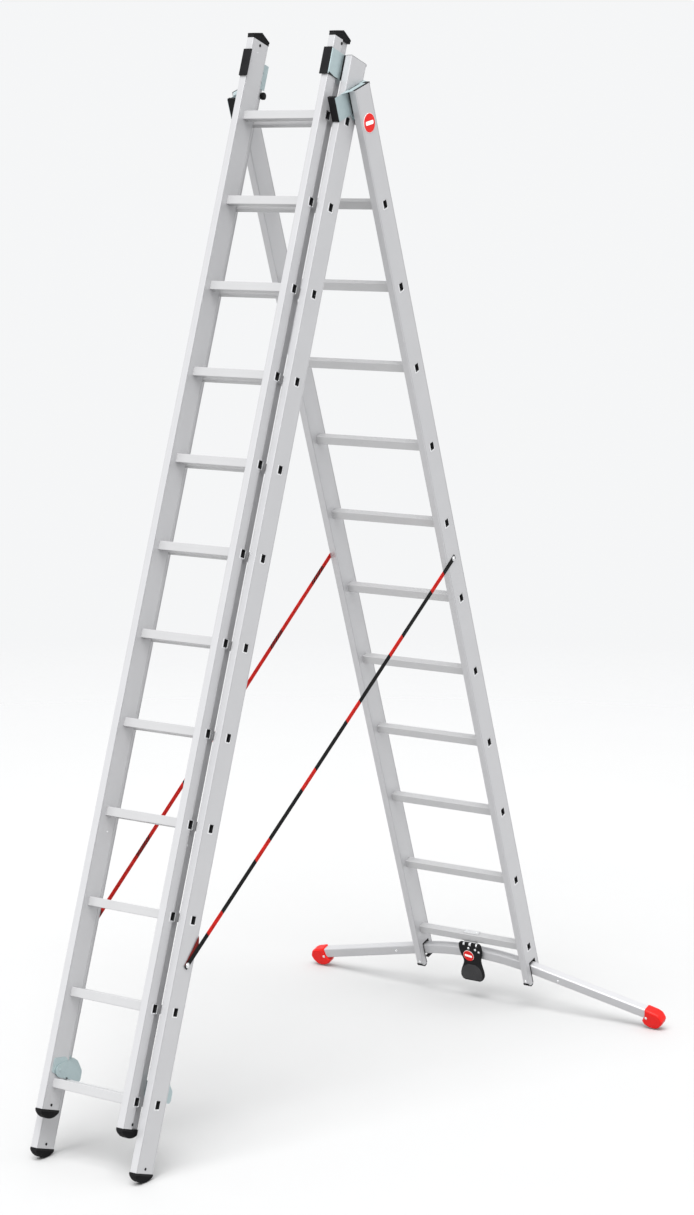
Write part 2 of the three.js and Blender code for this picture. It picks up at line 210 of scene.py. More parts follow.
def dome(bm, at, axis, radius, rise, rings=4, steps=20, slot=0):
    """A rivet head: a low dome on a short neck, standing on a face. axis is x, y or z with a sign."""
    sign = -1 if axis[0] == "-" else 1
    index = "xyz".index(axis[-1])
    u, v = [i for i in range(3) if i != index]
    rows = []
    for k in range(rings + 1):
        lift = 0 if k == 0 else rise * (0.45 + 0.55 * math.sin(math.pi / 2 * (k - 1) / (rings - 1)))
        r = radius if k < 2 else radius * math.cos(math.pi / 2 * (k - 1) / (rings - 0.6))
        row = []
        for i in range(steps):
            point = list(at)
            point[u] += r * math.cos(2 * math.pi * i / steps)
            point[v] += r * math.sin(2 * math.pi * i / steps)
            point[index] += sign * lift
            row.append(bm.verts.new(point))
        rows.append(row)
    for low, high in zip(rows, rows[1:]):
        for i in range(steps):
            j = (i + 1) % steps
            bm.faces.new((low[i], low[j], high[j], high[i])).material_index = slot
    bm.faces.new(rows[0]).material_index = slot
    bm.faces.new(rows[-1]).material_index = slot


def loft(bm, rings, slot=0):
    """A closed skin over rings of points."""
    rows = [[bm.verts.new(p) for p in ring] for ring in rings]
    for low, high in zip(rows, rows[1:]):
        for i in range(len(low)):
            j = (i + 1) % len(low)
            bm.faces.new((low[i], low[j], high[j], high[i])).material_index = slot
    bm.faces.new(rows[0]).material_index = slot
    bm.faces.new(rows[-1]).material_index = slot


def mesh_of(bm, name):
    bmesh.ops.recalc_face_normals(bm, faces=bm.faces[:])
    mesh = bpy.data.meshes.new(name)
    bm.to_mesh(mesh)
    bm.free()
    return mesh


def bake_modifiers(obj):
    """Replaces the object's mesh with what its modifiers make of it."""
    bpy.context.view_layer.update()
    graph = bpy.context.evaluated_depsgraph_get()
    made = bpy.data.meshes.new_from_object(obj.evaluated_get(graph), depsgraph=graph)
    obj.modifiers.clear()
    old = obj.data
    obj.data = made
    bpy.data.meshes.remove(old)


def finished_mesh(name, bm, materials, cutter=None, bevel=0.0, segments=2, crease=35):
    """Cuts, rounds and smooths a shape, and gives the mesh."""
    obj = bpy.data.objects.new(name, mesh_of(bm, name))
    bpy.context.scene.collection.objects.link(obj)
    for item in materials:
        obj.data.materials.append(item)
    knife = None
    if cutter is not None:
        knife = bpy.data.objects.new(name + "_cutter", mesh_of(cutter, name + "_cutter"))
        bpy.context.scene.collection.objects.link(knife)
        cut = obj.modifiers.new("cut", "BOOLEAN")
        cut.object = knife
        cut.solver = "EXACT"
    if bevel > 0:
        edge = obj.modifiers.new("edge", "BEVEL")
        edge.width = bevel
        edge.segments = segments
        edge.limit_method = "ANGLE"
        edge.angle_limit = math.radians(crease)
    bake_modifiers(obj)
    if knife is not None:
        bpy.data.objects.remove(knife)
    obj.data.polygons.foreach_set("use_smooth", [True] * len(obj.data.polygons))
    obj.data.set_sharp_from_angle(angle=math.radians(crease + 5))
    level = obj.modifiers.new("level", "WEIGHTED_NORMAL")
    level.keep_sharp = True
    bake_modifiers(obj)
    mesh = obj.data
    bpy.data.objects.remove(obj)
    return mesh


def put(name, mesh, label, body, replaces=(), lift=0.0):
    """Places a mesh in a section's frame, on a body. lift moves it up along the rails."""
    obj = bpy.data.objects.new(name, mesh)
    bpy.context.scene.collection.objects.link(obj)
    obj.matrix_world = SECTION[label] @ Matrix.Translation((0, 0, lift))
    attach(obj, body)
    if replaces:
        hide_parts(*replaces)
    return obj


def part(name, bm, label, body, slot, materials, replaces=(), **shaping):
    return put(name, finished_mesh(name, bm, materials, **shaping), label, body, replaces)


BODY = {"top": "top_section", "middle": "middle_section", "rear": "rear_section"}


# ---------- materials ----------

class Shader:
    """A node material around one Principled shader."""

    def __init__(self, name, roughness, metallic=0.0, **values):
        self.material = bpy.data.materials.new(name)
        self.material.use_nodes = True
        self.tree = self.material.node_tree
        self.surface = self.tree.nodes["Principled BSDF"]
        self.surface.inputs["Roughness"].default_value = roughness
        self.surface.inputs["Metallic"].default_value = metallic
        for key, value in values.items():
            self.surface.inputs[key.replace("_", " ").title()].default_value = value
        self.coordinates = self.add("ShaderNodeTexCoord").outputs["Object"]

    def add(self, kind, **settings):
        node = self.tree.nodes.new(kind)
        for key, value in settings.items():
            setattr(node, key, value)
        return node

    def link(self, source, target):
        self.tree.links.new(source, target)

    def value(self, target, given):
        if isinstance(given, bpy.types.NodeSocket):
            self.link(given, target)
        else:
            target.default_value = given

    def math(self, operation, first, second=0.0, clamp=False):
        node = self.add("ShaderNodeMath", operation=operation, use_clamp=clamp)
        self.value(node.inputs[0], first)
        self.value(node.inputs[1], second)
        return node.outputs[0]

    def noise(self, scale, detail=3.0, stretch=(1, 1, 1), roughness=0.55):
        mapping = self.add("ShaderNodeMapping")
        mapping.inputs["Scale"].default_value = stretch
        self.link(self.coordinates, mapping.inputs["Vector"])
        node = self.add("ShaderNodeTexNoise")
        node.inputs["Scale"].default_value = scale
        node.inputs["Detail"].default_value = detail
        node.inputs["Roughness"].default_value = roughness
        self.link(mapping.outputs["Vector"], node.inputs["Vector"])
        return node.outputs["Fac"]

    def range(self, source, low, high, to_low, to_high):
        node = self.add("ShaderNodeMapRange")
        self.value(node.inputs["Value"], source)
        for key, value in zip(("From Min", "From Max", "To Min", "To Max"), (low, high, to_low, to_high)):
            node.inputs[key].default_value = value
        return node.outputs["Result"]

    def mix(self, share, first, second):
        node = self.add("ShaderNodeMix", data_type="RGBA")
        self.value(node.inputs[0], share)
        self.value(node.inputs[6], first)
        self.value(node.inputs[7], second)
        return node.outputs[2]

    def colour(self, source):
        self.link(source, self.surface.inputs["Base Color"])

    def roughness(self, source):
        self.link(source, self.surface.inputs["Roughness"])

    def bump(self, height, distance, strength=1.0):
        node = self.add("ShaderNodeBump")
        node.inputs["Strength"].default_value = strength
        node.inputs["Distance"].default_value = distance
        self.link(height, node.inputs["Height"])
        self.link(node.outputs["Normal"], self.surface.inputs["Normal"])

    def axis(self, name):
        node = self.add("ShaderNodeSeparateXYZ")
        self.link(self.coordinates, node.inputs[0])
        return node.outputs[name]


def rgb(*parts):
    return (*parts, 1.0)


def drawn_aluminium(name, light, dark, stretch, rough=(0.30, 0.44), stitched=False):
    """Extruded aluminium with fine drawing lines, a soft cloudiness and a few scuffs."""
    shader = Shader(name, 0.36, 0.35)
    lines = shader.noise(0.9, 4, stretch)
    cloud = shader.noise(0.012, 3)
    scuff = shader.range(shader.noise(0.09, 6, roughness=0.7), 0.66, 0.74, 0.0, 0.5)
    streaks, patches = shader.math("MULTIPLY", lines, 0.5), shader.math("MULTIPLY", cloud, 0.5)
    tone = shader.mix(shader.math("ADD", streaks, patches), rgb(*dark), rgb(*light))
    tone = shader.mix(scuff, tone, rgb(*(c * 0.86 for c in dark)))
    height = lines
    if stitched:
        # a fine line of pressed dashes a few millimetres in from each edge of the side faces, bumped in and
        # darkened with painted shade
        from_middle = shader.math("ABSOLUTE", shader.axis("Y"))
        off = shader.math("ABSOLUTE", shader.math("SUBTRACT", from_middle, HALF - 4.5))
        on_line = shader.math("LESS_THAN", off, 0.8)
        count = shader.math("DIVIDE", shader.axis("Z"), 6.0)
        dash = shader.math("LESS_THAN", shader.math("FRACT", count), 0.5)
        dashes = shader.math("MULTIPLY", on_line, dash)
        tone = shader.mix(shader.math("MULTIPLY", dashes, 0.28), tone, rgb(0.25, 0.25, 0.27))
        height = shader.math("SUBTRACT", lines, shader.math("MULTIPLY", dashes, 1.5))
    shader.colour(tone)
    rough_noise = shader.math("ADD", lines, shader.math("MULTIPLY", scuff, 0.4))
    shader.roughness(shader.range(rough_noise, 0.3, 0.9, *rough))
    shader.bump(height, 0.00012, 0.5)
    return shader.material


def zinc_plated(name):
    """Zinc-plated sheet: bluish, slightly blotchy, with fine rolling marks."""
    shader = Shader(name, 0.4, 0.5)
    blotch = shader.noise(0.08, 5, roughness=0.65)
    roll = shader.noise(1.6, 3, (1, 0.2, 1))
    shader.colour(shader.mix(blotch, rgb(0.31, 0.39, 0.405), rgb(0.42, 0.50, 0.51)))
    shader.roughness(shader.range(blotch, 0.25, 0.75, 0.30, 0.48))
    shader.bump(roll, 0.00015, 0.4)
    return shader.material


def bright_steel(name):
    shader = Shader(name, 0.28, 0.9)
    grain = shader.noise(2.5, 3)
    shader.colour(shader.mix(grain, rgb(0.66, 0.67, 0.68), rgb(0.84, 0.84, 0.85)))
    shader.roughness(shader.range(grain, 0.3, 0.7, 0.2, 0.36))
    return shader.material


def moulded(name, low, high, rough, grain=1.4, depth=0.00025, specular=0.5):
    """Moulded plastic with an even grain and faint dulled patches."""
    shader = Shader(name, rough, 0.0)
    shader.surface.inputs["Specular IOR Level"].default_value = specular
    patch = shader.noise(0.05, 4)
    fine = shader.noise(grain, 3)
    shader.colour(shader.mix(patch, rgb(*low), rgb(*high)))
    shader.roughness(shader.range(patch, 0.3, 0.7, rough - 0.07, rough + 0.09))
    shader.bump(fine, depth, 0.5)
    return shader.material


def painted_hollow_shade(name):
    """Painted shade: a near-black colour for the unlit inside of a tube, and for slots and holes drawn as flat
    patches.
    """
    shader = Shader(name, 0.9, 0.0)
    shader.colour(shader.mix(shader.noise(0.1), rgb(0.006, 0.006, 0.007), rgb(0.014, 0.014, 0.016)))
    return shader.material


def woven(name, ground, band, first, period, length, broken=False):
    """Webbing: a twill of fine ribs, with bands of a second colour, which slanting stripes may break up.
    Its map runs in millimetres."""
    shader = Shader(name, 0.8, 0.0)
    shader.surface.inputs["Specular IOR Level"].default_value = 0.15
    shader.coordinates = shader.add("ShaderNodeUVMap", uv_map="weave").outputs["UV"]
    across, along = shader.axis("X"), shader.axis("Y")
    place = shader.math("FRACT", shader.math("DIVIDE", shader.math("SUBTRACT", along, first), period))
    banded = shader.math("LESS_THAN", place, length / period)
    if broken:
        slant = shader.math("DIVIDE", shader.math("ADD", along, shader.math("MULTIPLY", across, 0.8)), 13.0)
        stripe = shader.math("LESS_THAN", shader.math("FRACT", slant), 0.68)
        banded = shader.math("MULTIPLY", banded, stripe)
    ribs = shader.math("SINE", shader.math("MULTIPLY", shader.math("ADD", along, across), 2 * math.pi / 1.6))
    cross = shader.math("SINE", shader.math("MULTIPLY", across, 2 * math.pi / 2.0))
    weave = shader.math("MULTIPLY", shader.math("ADD", ribs, 1.0), shader.math("ADD", cross, 2.0))
    wear = shader.range(shader.noise(0.06, 4), 0.35, 0.7, 0.75, 1.15)
    shade = shader.math("MULTIPLY", shader.range(weave, 0, 6, 0.72, 1.05), wear)
    base = shader.mix(banded, rgb(*ground), rgb(*band))
    scale = shader.add("ShaderNodeVectorMath", operation="SCALE")
    shader.link(base, scale.inputs[0])
    shader.link(shade, scale.inputs["Scale"])
    shader.colour(scale.outputs[0])
    shader.bump(weave, 0.00025, 0.6)
    return shader.material


RAIL_METAL = drawn_aluminium("rail_metal", (0.49, 0.49, 0.50), (0.43, 0.43, 0.44), (1, 1, 0.02),
                             stitched=True)
RUNG_METAL = drawn_aluminium("rung_metal", (0.48, 0.48, 0.485), (0.41, 0.41, 0.415), (0.02, 1, 1),
                             (0.28, 0.42))
BAR_METAL = drawn_aluminium("bar_metal", (0.48, 0.48, 0.49), (0.41, 0.41, 0.42), (0.02, 1, 1))
ZINC = zinc_plated("zinc_plate")
STEEL = bright_steel("bright_steel")
BLACK = moulded("black_moulding", (0.005, 0.005, 0.0054), (0.010, 0.010, 0.011), 0.5, specular=0.12)
RUBBER = moulded("grey_tread", (0.035, 0.035, 0.037), (0.06, 0.06, 0.062), 0.7, 2.4, 0.0006, specular=0.2)
RED = moulded("red_moulding", (0.58, 0.007, 0.005), (0.66, 0.010, 0.007), 0.36, specular=0.2)
WHITE = moulded("white_print", (0.82, 0.82, 0.81), (0.9, 0.9, 0.89), 0.4)
# near-black painted shade for the insides of tubes, and for slots and holes
HOLLOW_SHADE = painted_hollow_shade("painted_hollow_shade")

RED_DYE, BLACK_DYE = (0.62, 0.012, 0.006), (0.007, 0.007, 0.007)
WEBBING = {
    "right": woven("black_webbing", BLACK_DYE, RED_DYE, first=84, period=300, length=90),
    "left": woven("red_webbing", RED_DYE, BLACK_DYE, first=106, period=311, length=84, broken=True),
}
# the folded webbing's red darkened with painted shade, where it is tucked between strap and rail
SHADED_FOLD = moulded("fold_webbing_painted_shade", (0.10, 0.006, 0.005), (0.17, 0.010, 0.008), 0.8, 2.0, 0.0004, specular=0.2)
# a brighter copy of the rung metal, a painted highlight on the rungs' flared ends
LIP_HIGHLIGHT_METAL = bright_steel("lip_painted_highlight")


# ---------- camera, lights and floor ----------

def look(position, azimuth, elevation):
    """A turn that looks along azimuth (0 is +Y, positive to the left), down by elevation, in degrees."""
    turn = Matrix.Rotation(math.radians(azimuth), 4, "Z")
    return Matrix.Translation(position) @ turn @ Matrix.Rotation(math.radians(90 - elevation), 4, "X")


def add_camera():
    data = bpy.data.cameras.new("camera")
    data.sensor_width = 36
    data.lens = 84.87
    data.clip_end = 200
    camera = bpy.data.objects.new("camera", data)
    bpy.context.scene.collection.objects.link(camera)
    camera.matrix_world = look((5.3643, -7.4822, 3.0218), 34.716, 8.894)
    bpy.context.scene.camera = camera


def add_lamp(name, azimuth, elevation, strength, angle):
    """A broad distant lamp. Its light comes from azimuth (0 is from -Y, positive towards +X), in degrees."""
    data = bpy.data.lights.new(name, "SUN")
    data.energy = strength
    data.angle = math.radians(angle)
    lamp = bpy.data.objects.new(name, data)
    bpy.context.scene.collection.objects.link(lamp)
    level, turn = math.radians(elevation), math.radians(azimuth)
    source = Vector((math.sin(turn) * math.cos(level), -math.cos(turn) * math.cos(level), math.sin(level)))
    lamp.matrix_world = source.to_track_quat("Z", "Y").to_matrix().to_4x4()


def add_floor():
    """A round pale floor that thins out to nothing at its rim, so that it has no edge."""
    radius = 9.0
    bm = bmesh.new()
    bmesh.ops.create_circle(bm, cap_ends=True, segments=96, radius=radius)
    floor = bpy.data.objects.new("floor", mesh_of(bm, "floor"))
    bpy.context.scene.collection.objects.link(floor)
    floor.location.z = -0.001
    shader = Shader("pale_floor", 0.75, 0.0)
    shader.colour(shader.mix(shader.noise(1.5, 2), rgb(0.41, 0.41, 0.41), rgb(0.42, 0.42, 0.42)))
    away = shader.add("ShaderNodeVectorMath", operation="LENGTH")
    shader.link(shader.coordinates, away.inputs[0])
    shader.link(shader.range(away.outputs["Value"], 0.45 * radius, 0.98 * radius, 1.0, 0.0),
                shader.surface.inputs["Alpha"])
    floor.data.materials.append(shader.material)


def add_stage():
    add_floor()
    scene = bpy.context.scene
    world = bpy.data.worlds.new("studio")
    scene.world = world
    world.use_nodes = True
    world.node_tree.nodes["Background"].inputs["Color"].default_value = rgb(0.985, 0.992, 1.0)
    world.node_tree.nodes["Background"].inputs["Strength"].default_value = 0.93
    scene.view_settings.view_transform = "Standard"
    add_lamp("key", 18, 62, 5.0, 45)
    add_lamp("fill", 85, 20, 0.6, 90)


# ---------- rails ----------

def grooved(u, inward, v_from, v_to):
    """The points of a side face between two corners, with a shallow groove near each of them."""
    step = math.copysign(1.0, v_to - v_from)
    points = []
    for v in (v_from + step * 3.0, v_to - step * 4.6):
        deep = u + inward * 0.8
        points += [(u, v), (deep, v + step * 0.3), (deep, v + step * 1.3), (u, v + step * 1.6)]
    return points


def rail_outline(label, side):
    """The rail's section, in x and y. The top section's rail is set in along the rear of its outer face."""
    outer = RAIL[label][1].x
    inner = outer - THICK
    if label == "top":
        step, depth = RECESS["front"], RECESS["depth"]
        outer_face = [*grooved(outer, -1, -HALF, step), (outer, step), (outer - depth, step + 1.5)]
        rear_corner = (outer - depth, HALF)
        face_radii = [0] * 8 + [0.8, 0.8]
    else:
        outer_face = grooved(outer, -1, -HALF, HALF)
        rear_corner = (outer, HALF)
        face_radii = [0] * 8
    points = [(inner, -HALF), (outer, -HALF), *outer_face, rear_corner, (inner, HALF),
              *grooved(inner, 1, HALF, -HALF)]
    radii = [2.5, 2.5, *face_radii, 2.5, 2.5] + [0] * 8
    points = [(side * u, v) for u, v in points]
    return fillet(points, radii, 4)


def rail(label, name, side):
    low, high = local_box(f"{label}_rail_{name}", label)
    wall = 1.8
    set_in = RECESS["depth"] if label == "top" else 0.0
    near, far = RAIL[label][1].x - THICK + wall, RAIL[label][1].x - wall - set_in
    bore = fillet(rectangle(side * near, side * far, -HALF + wall, HALF - wall), 1.2, 2)
    bm = bmesh.new()
    # the bore's faces take the near-black painted shade of the hollow
    prism(bm, rail_outline(label, side), low.z, high.z, hole=bore)
    knife = bmesh.new()
    x0, x1 = span(side, near - 6, far + 12)
    size = RUNG + 0.15
    for i in range(12):
        level = i * PITCH
        block(knife, (x0, x1), (-size, size), (level - size, level + size))
    if label == "rear":
        cut_fork(knife, x0, x1, low.z)
    part(f"{label}_{name}_rail", bm, label, BODY[label], "rail_aluminium", [RAIL_METAL, HOLLOW_SHADE],
         [f"{label}_rail_{name}"], cutter=knife, crease=28)


FORK = {"front": -16.5, "back": 19.5, "top": -62, "rear_strip": -112}


def cut_fork(knife, x0, x1, low):
    """The slot for the levelling bar, the shorter strip behind it and the bevelled tip in front."""
    profile = [(FORK["front"], low - 5), (FORK["front"], FORK["top"]), (FORK["back"], FORK["top"]),
               (FORK["back"], FORK["rear_strip"]), (HALF + 5, FORK["rear_strip"] + 8), (HALF + 5, low - 5)]
    prism(knife, fillet(profile, [0, 3, 3, 3, 0, 0], 3), x0, x1, "across")
    tip = [(-HALF - 2, low - 2), (-HALF - 2, low + 9), (-HALF + 14, low - 2)]
    prism(knife, tip, x0, x1, "across")


# ---------- rungs ----------

def rung_outline():
    """A rounded square with a ribbed tread on top and two grooves underneath."""
    ribs = 7
    pitch = 3.1
    depth = 0.9
    start = -pitch * ribs / 2
    tread = []
    for i in range(ribs):
        at = start + i * pitch
        tread += [(at, RUNG), (at + 0.7, RUNG - depth), (at + 1.2, RUNG - depth), (at + 1.9, RUNG)]
    grooves = []
    for at in (5.5, -5.5):
        grooves += [(at + 2.2, -RUNG), (at + 1.6, -RUNG + 1.4), (at - 1.6, -RUNG + 1.4), (at - 2.2, -RUNG)]
    corner = 1.6
    rounded = fillet(rectangle(-RUNG, RUNG, -RUNG, RUNG), corner, 3)
    lower_left, lower_right, upper_right, upper_left = (rounded[i:i + 4] for i in range(0, 16, 4))
    return lower_left + grooves[::-1] + lower_right + upper_right + tread[::-1] + upper_left


def rung_mesh(label):
    wide = RAIL[label][1].x
    bm = bmesh.new()
    deep, tall = BORE
    bore = fillet(rectangle(-deep, deep, -tall, tall), 1.2, 3)
    # the bore's faces take the near-black painted shade of the hollow
    prism(bm, rung_outline(), -wide - 0.3, wide + 0.3, "across", hole=bore)
    for _, side in SIDES:
        # the flared end, rolled outwards over the rail's face, wider below and in front; it takes a brighter copy
        # of the metal as a painted highlight
        rings = ((5.6, 0.1), (5.6, 0.45), (4.4, 0.95), (2.4, 1.1), (0.8, 0.8), (0.1, 0.1))
        rows = []
        for grow, out in rings:
            loop = fillet(rectangle(-deep - grow, deep + 0.3 * grow, -tall - 0.85 * grow, tall + 0.2 * grow),
                          1.2 + 0.5 * grow, 4)
            rows.append([bm.verts.new((side * (wide + out), u, v)) for u, v in loop])
        for low, high in zip(rows, rows[1:] + rows[:1]):
            for i in range(len(low)):
                j = (i + 1) % len(low)
                bm.faces.new((low[i], low[j], high[j], high[i])).material_index = 2
    return finished_mesh(f"{label}_rung", bm, [RUNG_METAL, HOLLOW_SHADE, LIP_HIGHLIGHT_METAL], crease=30)


def rungs(label):
    mesh = rung_mesh(label)
    for i, number in enumerate(RUNGS):
        put(f"{label}_step_{number}", mesh, label, BODY[label],
            [f"{label}_rung_{number}"], lift=i * PITCH)


# ---------- feet, caps and plugs ----------

def foot(label, name):
    """A round-soled plastic foot: a smooth collar, upright ribs on its sides and a toothed sole."""
    low, high = local_box(f"{label}_foot_{name}", label)
    half = (high.y - low.y) / 2
    radius = 60
    centre_up = low.z + radius
    reach = math.asin(half / radius)
    teeth = 26
    sole = []
    for i in range(teeth + 1):
        angle = -reach + 2 * reach * i / teeth
        for share, cut in ((0.0, 1.3), (0.18, 0.0), (0.62, 0.0), (0.8, 1.3)):
            turn = angle + share * 2 * reach / teeth
            if turn <= reach:
                r = radius - cut
                sole.append((r * math.sin(turn), centre_up - r * math.cos(turn)))
    bm = bmesh.new()
    edge = 1.6
    prism(bm, sole + [(half, high.z), (-half, high.z)], low.x + edge, high.x - edge, "across")
    collar = fillet(rectangle(-half, half, high.z - 7, high.z), 1.2, 3)
    prism(bm, collar, low.x, high.x, "across")
    count = 23
    for i in range(count):
        at = -half + 2.4 + (2 * half - 4.8) * i / (count - 1)
        bottom = centre_up - math.sqrt(radius ** 2 - at ** 2) + 2.2
        if bottom < high.z - 9:
            for x0 in (low.x + 0.5, high.x - edge - 0.3):
                block(bm, (x0, x0 + edge - 0.2), (at - 0.85, at + 0.85), (bottom, high.z - 6.5))
    part(f"{label}_{name}_shoe", bm, label, BODY[label], "black_plastic", [BLACK],
         [f"{label}_foot_{name}"], bevel=0.35, crease=40)


def end_cap(name):
    low, high = local_box(f"top_end_cap_{name}", "top")
    base = low.z
    half = high.y
    top_line = [(half, base + 13), (0, base + 28), (-3, base + 29), (-half, base + 14)]
    bm = bmesh.new()
    edge = 1.2
    body = fillet([(-half, base), (half, base)] + top_line, [1, 1, 4, 6, 6, 3], 3)
    prism(bm, body, low.x + edge, high.x - edge, "across")
    # a smooth rim along the roof, standing proud of the ribbed sides
    rim = fillet([(half, base + 8.5), *top_line, (-half, base + 9.5), (-3, base + 24)],
                 [0, 4, 6, 6, 3, 0, 5], 3)
    prism(bm, rim, low.x, high.x, "across")
    count = 21
    for i in range(count):
        at = -half + 2.4 + (2 * half - 4.8) * i / (count - 1)
        roof = base + 9 + (15.0 * (1 - abs(at + 3) / (half + 3)))
        for x0 in (low.x + 0.4, high.x - edge - 0.2):
            block(bm, (x0, x0 + edge - 0.2), (at - 0.9, at + 0.9), (base + 0.6, roof))
    part(f"top_{name}_cap", bm, "top", BODY["top"], "black_plastic", [BLACK],
         [f"top_end_cap_{name}"], bevel=0.35, crease=40)


def rail_plug(label, name):
    """A thin black plug over the open upper end of a rail, with a lip at the rear."""
    low, high = local_box(f"{label}_rail_{name}", label)
    inset = 2.5
    outline = fillet(rectangle(low.x + inset - 1.4, high.x - inset + 1.4, -HALF + 0.8, HALF - 0.8), 2, 3)
    bm = bmesh.new()
    prism(bm, outline, high.z - 9, high.z + 1.9)
    lip = [(HALF - 12, high.z + 0.5), (HALF + 2.2, high.z + 0.5), (HALF + 2.2, high.z - 7),
           (HALF + 5.2, high.z - 6), (HALF + 5.4, high.z + 2.4), (HALF - 12, high.z + 2.4)]
    lip_shape = fillet(lip, [0.3, 0.6, 0.8, 1.5, 2.0, 0.3], 3)
    prism(bm, lip_shape, low.x + 3, high.x - 3, "across")
    part(f"{label}_{name}_plug", bm, label, BODY[label], "black_plastic", [BLACK], bevel=0.4, crease=40)


def rivets(name, label, material, slot, spots, body=None):
    """Rivet heads at (place, axis, radius, rise)."""
    bm = bmesh.new()
    for at, axis, radius, rise in spots:
        dome(bm, at, axis, radius, rise)
    part(name, bm, label, body or BODY[label], slot, [material], crease=40)


def foot_rivets():
    for label in ("top", "middle"):
        inner, outer = RAIL[label][0].x, RAIL[label][1].x
        spots = []
        for _, side in SIDES:
            up = RAIL[label][0].z + 14
            spots.append(((side * outer, 0, up), outwards(side), 4.6, 1.4))
            spots.append(((side * inner, 0, up), inwards(side), 4.6, 1.4))
        if label == "top":
            up = RAIL["top"][1].z - 13
            for _, side in SIDES:
                spots.append(((side * outer, -1, up), outwards(side), 5.0, 1.6))
                spots.append(((side * inner, -1, up), inwards(side), 5.0, 1.6))
            marks = [((side * inner, -6, up - 25), inwards(side), 2.2, 0.7) for _, side in SIDES]
            rivets("top_cap_marks", label, STEEL, "zinc_steel", marks)
        rivets(f"{label}_shoe_rivets", label, BLACK, "black_plastic", spots)


def stop_bolts():
    """Small bright bolts low on the top section's rails, which stop it at its highest place."""
    up = 2.5 * PITCH + 77
    for name, side in SIDES:
        outer = RAIL["top"][1].x
        axis = outwards(side)
        rivets(f"top_{name}_stop_bolt", "top", STEEL, "zinc_steel",
               [((side * (outer - RECESS["depth"]), 9, up), axis, 5.0, 6.0),
                ((side * RAIL["top"][0].x, 9, up), inwards(side), 3.6, 1.6)])


# ---------- hooks ----------

def hook(label, name, side, rise):
    """A pressed hook with rounded corners and a rivet, on its mounting plate."""
    low, high = local_box(f"{label}_hook_{name}", label)
    up = 40 + rise
    mouth_top, mouth_back = RUNG + 1 + rise, NEST + RUNG + 3.5
    nose = -2 + rise
    points = [(2, up + 22), (-19.5, up + 4), (-12, up - 16), (2, up - 22), (40, mouth_top),
              (mouth_back, mouth_top), (mouth_back, nose), (92, nose), (98, nose + 8), (98, 35 + rise),
              (67, 65 + rise), (42, 72 + rise)]
    outline = fillet(points, [14, 16, 16, 14, 6, 3, 2, 2, 4, 16, 20, 14], 5)
    bm = bmesh.new()
    thick = 2.6
    sign = -1 if side > 0 else 1
    root = high.x if side > 0 else low.x
    face = root + sign * thick
    prism(bm, outline, *sorted((root, face)), "across")
    # small punched marks, and a slot at the foot of the plate, drawn below as painted shade
    for dep, lift in ((28, 52), (28, 36), (28, 22), (60, 50), (62, 34), (62, 20)):
        dome(bm, (face, dep, lift + rise), inwards(side), 1.9, 0.7, steps=12)
    dome(bm, (face, 2, up), inwards(side), 5.0, 1.6)
    body = f"{label}_hook_{name}"
    part(f"{label}_{name}_catch", bm, label, body, "zinc_steel", [ZINC], [body], bevel=0.7, crease=40)
    # the slot: a thin near-black patch of painted shade on the plate's face
    mark = bmesh.new()
    x0, x1 = sorted((face - sign * 0.2, face + sign * 0.3))
    prism(mark, fillet(rectangle(36, 46, 16 + rise, 20 + rise), 1.2, 3), x0, x1, "across")
    part(f"{label}_{name}_catch_slot_shade", mark, label, body, "black_plastic", [HOLLOW_SHADE], crease=40)

    plate = bmesh.new()
    inner = RAIL[label][0].x
    x0, x1 = span(side, inner - 0.2, inner - 2.1)
    outline = fillet([(-30, up - 10), (26, up - 18), (36, up - 4), (36, up + 34), (20, up + 42), (-30, up + 34)],
                     6, 4)
    prism(plate, outline, x0, x1, "across")
    for dep, lift in ((-20, 0), (-20, 24), (26, 26)):
        dome(plate, (side * (inner - 2.1), dep, up + lift), inwards(side), 3.6, 0.35)
    part(f"{label}_{name}_catch_plate", plate, label, BODY[label], "zinc_steel", [ZINC], bevel=0.5, crease=40)


# ---------- guides ----------

def guide_path(plate, own_face, front, front_turn, leg):
    """The bent plate's middle line, in x and y: beside the sliding rail, a step, then its own rail."""
    path = [(plate, -HALF + 20.0), (own_face - 1, -HALF + 24.0), (own_face - 1, leg)]
    return [(front_turn, front), (plate, front)] + path if front_turn else [(plate, front)] + path


